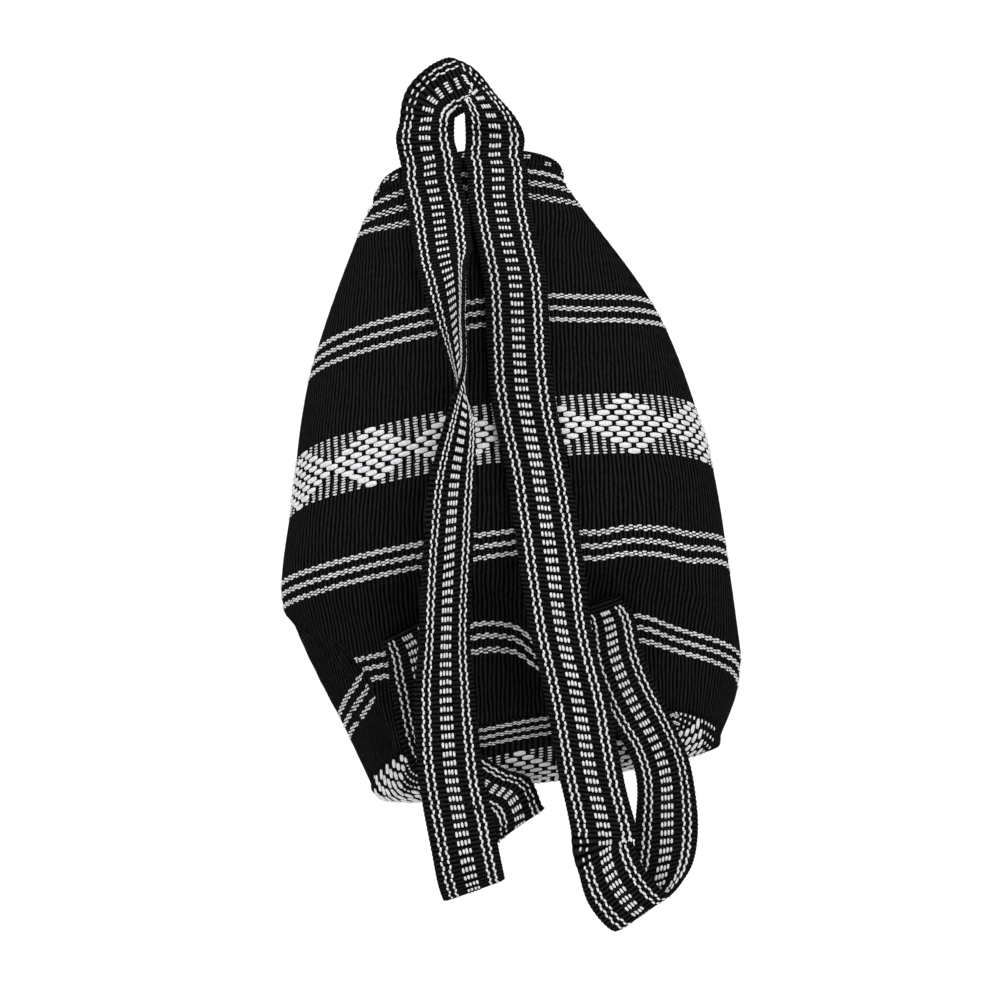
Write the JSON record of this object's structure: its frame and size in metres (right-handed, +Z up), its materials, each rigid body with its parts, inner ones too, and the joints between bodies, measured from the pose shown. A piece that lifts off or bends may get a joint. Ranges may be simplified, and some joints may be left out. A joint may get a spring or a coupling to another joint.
{
  "type": "woven backpack",
  "caption": "Soft cotton backpack hung by its loop: drawn-in mouth, oval base, woven diamond and stripe bands, shoulder straps made of one long woven band.",
  "frame": {"origin": "inside the bend of the hang loop, where a hook or finger carries the bag", "axes": "+Z up, +X to the right of the strap side, -Y out of the strap side"},
  "size_m": [0.255, 0.1652, 0.4719],
  "materials": {
    "black_cotton": "matte ribbed weave",
    "white_cotton": "matte soft yarn"
  },
  "bodies": {
    "root": {"body_wall": "black_cotton", "base_panel": "black_cotton", "strap_band": "black_cotton", "mouth_stripes": "white_cotton", "upper_stripes": "white_cotton", "diamond_row": "white_cotton", "lower_stripes": "white_cotton", "bottom_stripes": "white_cotton", "base_stripes": "white_cotton", "base_diamonds": "white_cotton"}
  },
  "joints": []
}
